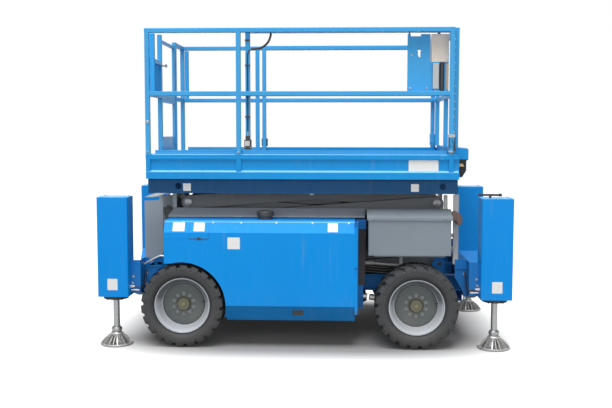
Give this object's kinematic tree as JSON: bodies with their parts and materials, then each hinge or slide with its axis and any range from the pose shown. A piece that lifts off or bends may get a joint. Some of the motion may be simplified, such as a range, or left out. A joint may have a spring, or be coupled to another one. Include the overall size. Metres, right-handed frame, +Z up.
{
  "type": "rough-terrain scissor lift",
  "caption": "Self-propelled work platform on rough-terrain wheels, with stabilising jacks, a folding scissor stack, a railed deck and a roll-out deck extension.",
  "frame": {"origin": "centre of the bounding box at floor level", "axes": "+X toward the steering end, +Y to the machine's left, +Z up"},
  "size_m": [3.2634, 1.787, 2.508],
  "materials": {
    "blue_paint": "gloss",
    "grey_paint": "satin",
    "tyre_rubber": "matte",
    "rim_paint": "satin",
    "bright_steel": "ground",
    "black_steel": "matte",
    "cast_iron": "as cast",
    "box_plastic": "matte"
  },
  "bodies": {
    "chassis": {"chassis_frame": "blue_paint", "cross_members": "blue_paint", "belly_pan": "blue_paint", "hinge_brackets": "blue_paint", "outrigger_beams": "blue_paint", "beam_cheeks": "blue_paint", "jack_housings": "blue_paint", "axles": "black_steel", "side_tanks": "grey_paint", "deck_plates": "grey_paint", "entry_ladder": "grey_paint"},
    "jack_front_left": {"jack_leg_front_left": "bright_steel"},
    "jack_front_right": {"jack_leg_front_right": "bright_steel"},
    "jack_rear_left": {"jack_leg_rear_left": "bright_steel"},
    "jack_rear_right": {"jack_leg_rear_right": "bright_steel"},
    "knuckle_left": {"steering_knuckle_left": "black_steel"},
    "knuckle_right": {"steering_knuckle_right": "black_steel"},
    "tie_rod": {"tie_rod": "black_steel"},
    "wheel_front_left": {"tyre_front_left": "tyre_rubber", "rim_front_left": "rim_paint"},
    "wheel_front_right": {"tyre_front_right": "tyre_rubber", "rim_front_right": "rim_paint"},
    "wheel_rear_left": {"tyre_rear_left": "tyre_rubber", "rim_rear_left": "rim_paint"},
    "wheel_rear_right": {"tyre_rear_right": "tyre_rubber", "rim_rear_right": "rim_paint"},
    "right_module": {"right_cover": "blue_paint", "right_tray": "black_steel", "engine": "cast_iron"},
    "left_module": {"left_cover": "blue_paint", "left_tray": "black_steel", "hydraulic_unit": "black_steel"},
    "inner_arms_1": {"inner_arms_1": "grey_paint"},
    "outer_arms_1": {"outer_arms_1": "grey_paint"},
    "inner_arms_2": {"inner_arms_2": "grey_paint"},
    "outer_arms_2": {"outer_arms_2": "grey_paint"},
    "inner_arms_3": {"inner_arms_3": "grey_paint"},
    "outer_arms_3": {"outer_arms_3": "grey_paint"},
    "inner_arms_4": {"inner_arms_4": "grey_paint"},
    "outer_arms_4": {"outer_arms_4": "grey_paint"},
    "inner_arms_5": {"inner_arms_5": "grey_paint"},
    "outer_arms_5": {"outer_arms_5": "grey_paint"},
    "lower_cylinder_barrel": {"lower_cylinder_barrel": "black_steel"},
    "lower_cylinder_rod": {"lower_cylinder_rod": "bright_steel"},
    "upper_cylinder_barrel": {"upper_cylinder_barrel": "black_steel"},
    "upper_cylinder_rod": {"upper_cylinder_rod": "bright_steel"},
    "platform": {"platform_underframe": "blue_paint", "platform_deck": "blue_paint", "main_rails": "blue_paint", "toe_boards": "blue_paint"},
    "gate": {"entry_gate": "blue_paint"},
    "extension": {"extension_deck": "blue_paint", "extension_lip": "blue_paint", "extension_rails": "blue_paint", "control_mount": "blue_paint", "control_box": "box_plastic"}
  },
  "joints": [
    {"name": "lift", "type": "hinge", "parent": "chassis", "child": "inner_arms_1", "pos_m": [1.093, 0, 0.452], "axis": [0, 1, 0], "range_deg": [0, 56]},
    {"name": "cross_1", "type": "hinge", "parent": "inner_arms_1", "child": "outer_arms_1", "pos_m": [0.045, 0, 0.534], "axis": [0, 1, 0], "range_deg": [-114, 2]},
    {"name": "knee_1", "type": "hinge", "parent": "outer_arms_1", "child": "inner_arms_2", "pos_m": [1.093, 0, 0.616], "axis": [0, 1, 0], "range_deg": [-2, 114]},
    {"name": "cross_2", "type": "hinge", "parent": "inner_arms_2", "child": "outer_arms_2", "pos_m": [0.045, 0, 0.698], "axis": [0, 1, 0], "range_deg": [-114, 2]},
    {"name": "knee_2", "type": "hinge", "parent": "outer_arms_2", "child": "inner_arms_3", "pos_m": [1.093, 0, 0.78], "axis": [0, 1, 0], "range_deg": [-2, 114]},
    {"name": "cross_3", "type": "hinge", "parent": "inner_arms_3", "child": "outer_arms_3", "pos_m": [0.045, 0, 0.862], "axis": [0, 1, 0], "range_deg": [-114, 2]},
    {"name": "knee_3", "type": "hinge", "parent": "outer_arms_3", "child": "inner_arms_4", "pos_m": [1.093, 0, 0.944], "axis": [0, 1, 0], "range_deg": [-2, 114]},
    {"name": "cross_4", "type": "hinge", "parent": "inner_arms_4", "child": "outer_arms_4", "pos_m": [0.045, 0, 1.026], "axis": [0, 1, 0], "range_deg": [-114, 2]},
    {"name": "knee_4", "type": "hinge", "parent": "outer_arms_4", "child": "inner_arms_5", "pos_m": [1.093, 0, 1.108], "axis": [0, 1, 0], "range_deg": [-2, 114]},
    {"name": "cross_5", "type": "hinge", "parent": "inner_arms_5", "child": "outer_arms_5", "pos_m": [0.045, 0, 1.19], "axis": [0, 1, 0], "range_deg": [-114, 2]},
    {"name": "platform_level", "type": "hinge", "parent": "outer_arms_5", "child": "platform", "pos_m": [1.093, 0, 1.272], "axis": [0, 1, 0], "range_deg": [-2, 58]},
    {"name": "lower_cylinder_foot", "type": "hinge", "parent": "inner_arms_1", "child": "lower_cylinder_barrel", "pos_m": [-0.5838, 0, 0.5832], "axis": [0, 1, 0], "range_deg": [-122.41, 2]},
    {"name": "lower_cylinder_stroke", "type": "slide", "parent": "lower_cylinder_barrel", "child": "lower_cylinder_rod", "axis": [0.9905, 0, 0.1378], "range_m": [-0.005, 0.477]},
    {"name": "upper_cylinder_foot", "type": "hinge", "parent": "inner_arms_3", "child": "upper_cylinder_barrel", "pos_m": [-0.5838, 0, 0.9112], "axis": [0, 1, 0], "range_deg": [-122.41, 2]},
    {"name": "upper_cylinder_stroke", "type": "slide", "parent": "upper_cylinder_barrel", "child": "upper_cylinder_rod", "axis": [0.9905, 0, 0.1378], "range_m": [-0.005, 0.477]},
    {"name": "jack_front_left", "type": "slide", "parent": "chassis", "child": "jack_front_left", "axis": [0, 0, 1], "range_m": [-0.3, 0.22]},
    {"name": "jack_front_right", "type": "slide", "parent": "chassis", "child": "jack_front_right", "axis": [0, 0, 1], "range_m": [-0.3, 0.22]},
    {"name": "jack_rear_left", "type": "slide", "parent": "chassis", "child": "jack_rear_left", "axis": [0, 0, 1], "range_m": [-0.3, 0.22]},
    {"name": "jack_rear_right", "type": "slide", "parent": "chassis", "child": "jack_rear_right", "axis": [0, 0, 1], "range_m": [-0.3, 0.22]},
    {"name": "steer_right", "type": "hinge", "parent": "chassis", "child": "knuckle_right", "pos_m": [0.89, -0.64, 0.33], "axis": [0, 0, 1], "range_deg": [-30, 30]},
    {"name": "steer_left", "type": "hinge", "parent": "chassis", "child": "knuckle_left", "pos_m": [0.89, 0.64, 0.33], "axis": [0, 0, 1], "range_deg": [-31, 31]},
    {"name": "tie_rod_end", "type": "hinge", "parent": "knuckle_right", "child": "tie_rod", "pos_m": [0.77, -0.64, 0.35], "axis": [0, 0, 1], "range_deg": [-31, 31]},
    {"name": "wheel_front_left", "type": "hinge", "parent": "knuckle_left", "child": "wheel_front_left", "pos_m": [0.89, 0.7125, 0.33], "axis": [0, 1, 0], "continuous": true},
    {"name": "wheel_front_right", "type": "hinge", "parent": "knuckle_right", "child": "wheel_front_right", "pos_m": [0.89, -0.7125, 0.33], "axis": [0, 1, 0], "continuous": true},
    {"name": "wheel_rear_left", "type": "hinge", "parent": "chassis", "child": "wheel_rear_left", "pos_m": [-0.96, 0.7125, 0.33], "axis": [0, 1, 0], "continuous": true},
    {"name": "wheel_rear_right", "type": "hinge", "parent": "chassis", "child": "wheel_rear_right", "pos_m": [-0.96, -0.7125, 0.33], "axis": [0, 1, 0], "continuous": true},
    {"name": "right_module_swing", "type": "hinge", "parent": "chassis", "child": "right_module", "pos_m": [0.415, -0.85, 0.6], "axis": [0, 0, 1], "range_deg": [0, 75]},
    {"name": "left_module_swing", "type": "hinge", "parent": "chassis", "child": "left_module", "pos_m": [0.415, 0.85, 0.6], "axis": [0, 0, -1], "range_deg": [0, 75]},
    {"name": "gate_swing", "type": "hinge", "parent": "platform", "child": "gate", "pos_m": [-1.2305, 0.331, 2], "axis": [0, 0, 1], "range_deg": [0, 90]},
    {"name": "extension_slide", "type": "slide", "parent": "platform", "child": "extension", "axis": [1, 0, 0], "range_m": [0, 1.5]}
  ],
  "couplings": [
    {"joint": "cross_1", "follows": "lift", "ratio": -2},
    {"joint": "knee_1", "follows": "lift", "ratio": 2},
    {"joint": "cross_2", "follows": "lift", "ratio": -2},
    {"joint": "knee_2", "follows": "lift", "ratio": 2},
    {"joint": "cross_3", "follows": "lift", "ratio": -2},
    {"joint": "knee_3", "follows": "lift", "ratio": 2},
    {"joint": "cross_4", "follows": "lift", "ratio": -2},
    {"joint": "knee_4", "follows": "lift", "ratio": 2},
    {"joint": "cross_5", "follows": "lift", "ratio": -2},
    {"joint": "platform_level", "follows": "lift", "ratio": 1},
    {"joint": "lower_cylinder_foot", "follows": "lift", "ratio": -2.1502},
    {"joint": "lower_cylinder_stroke", "follows": "lift", "m_per_rad": 0.47776},
    {"joint": "upper_cylinder_foot", "follows": "lift", "ratio": -2.1502},
    {"joint": "upper_cylinder_stroke", "follows": "lift", "m_per_rad": 0.47776},
    {"joint": "steer_left", "follows": "steer_right", "ratio": 1},
    {"joint": "tie_rod_end", "follows": "steer_right", "ratio": -1}
  ]
}
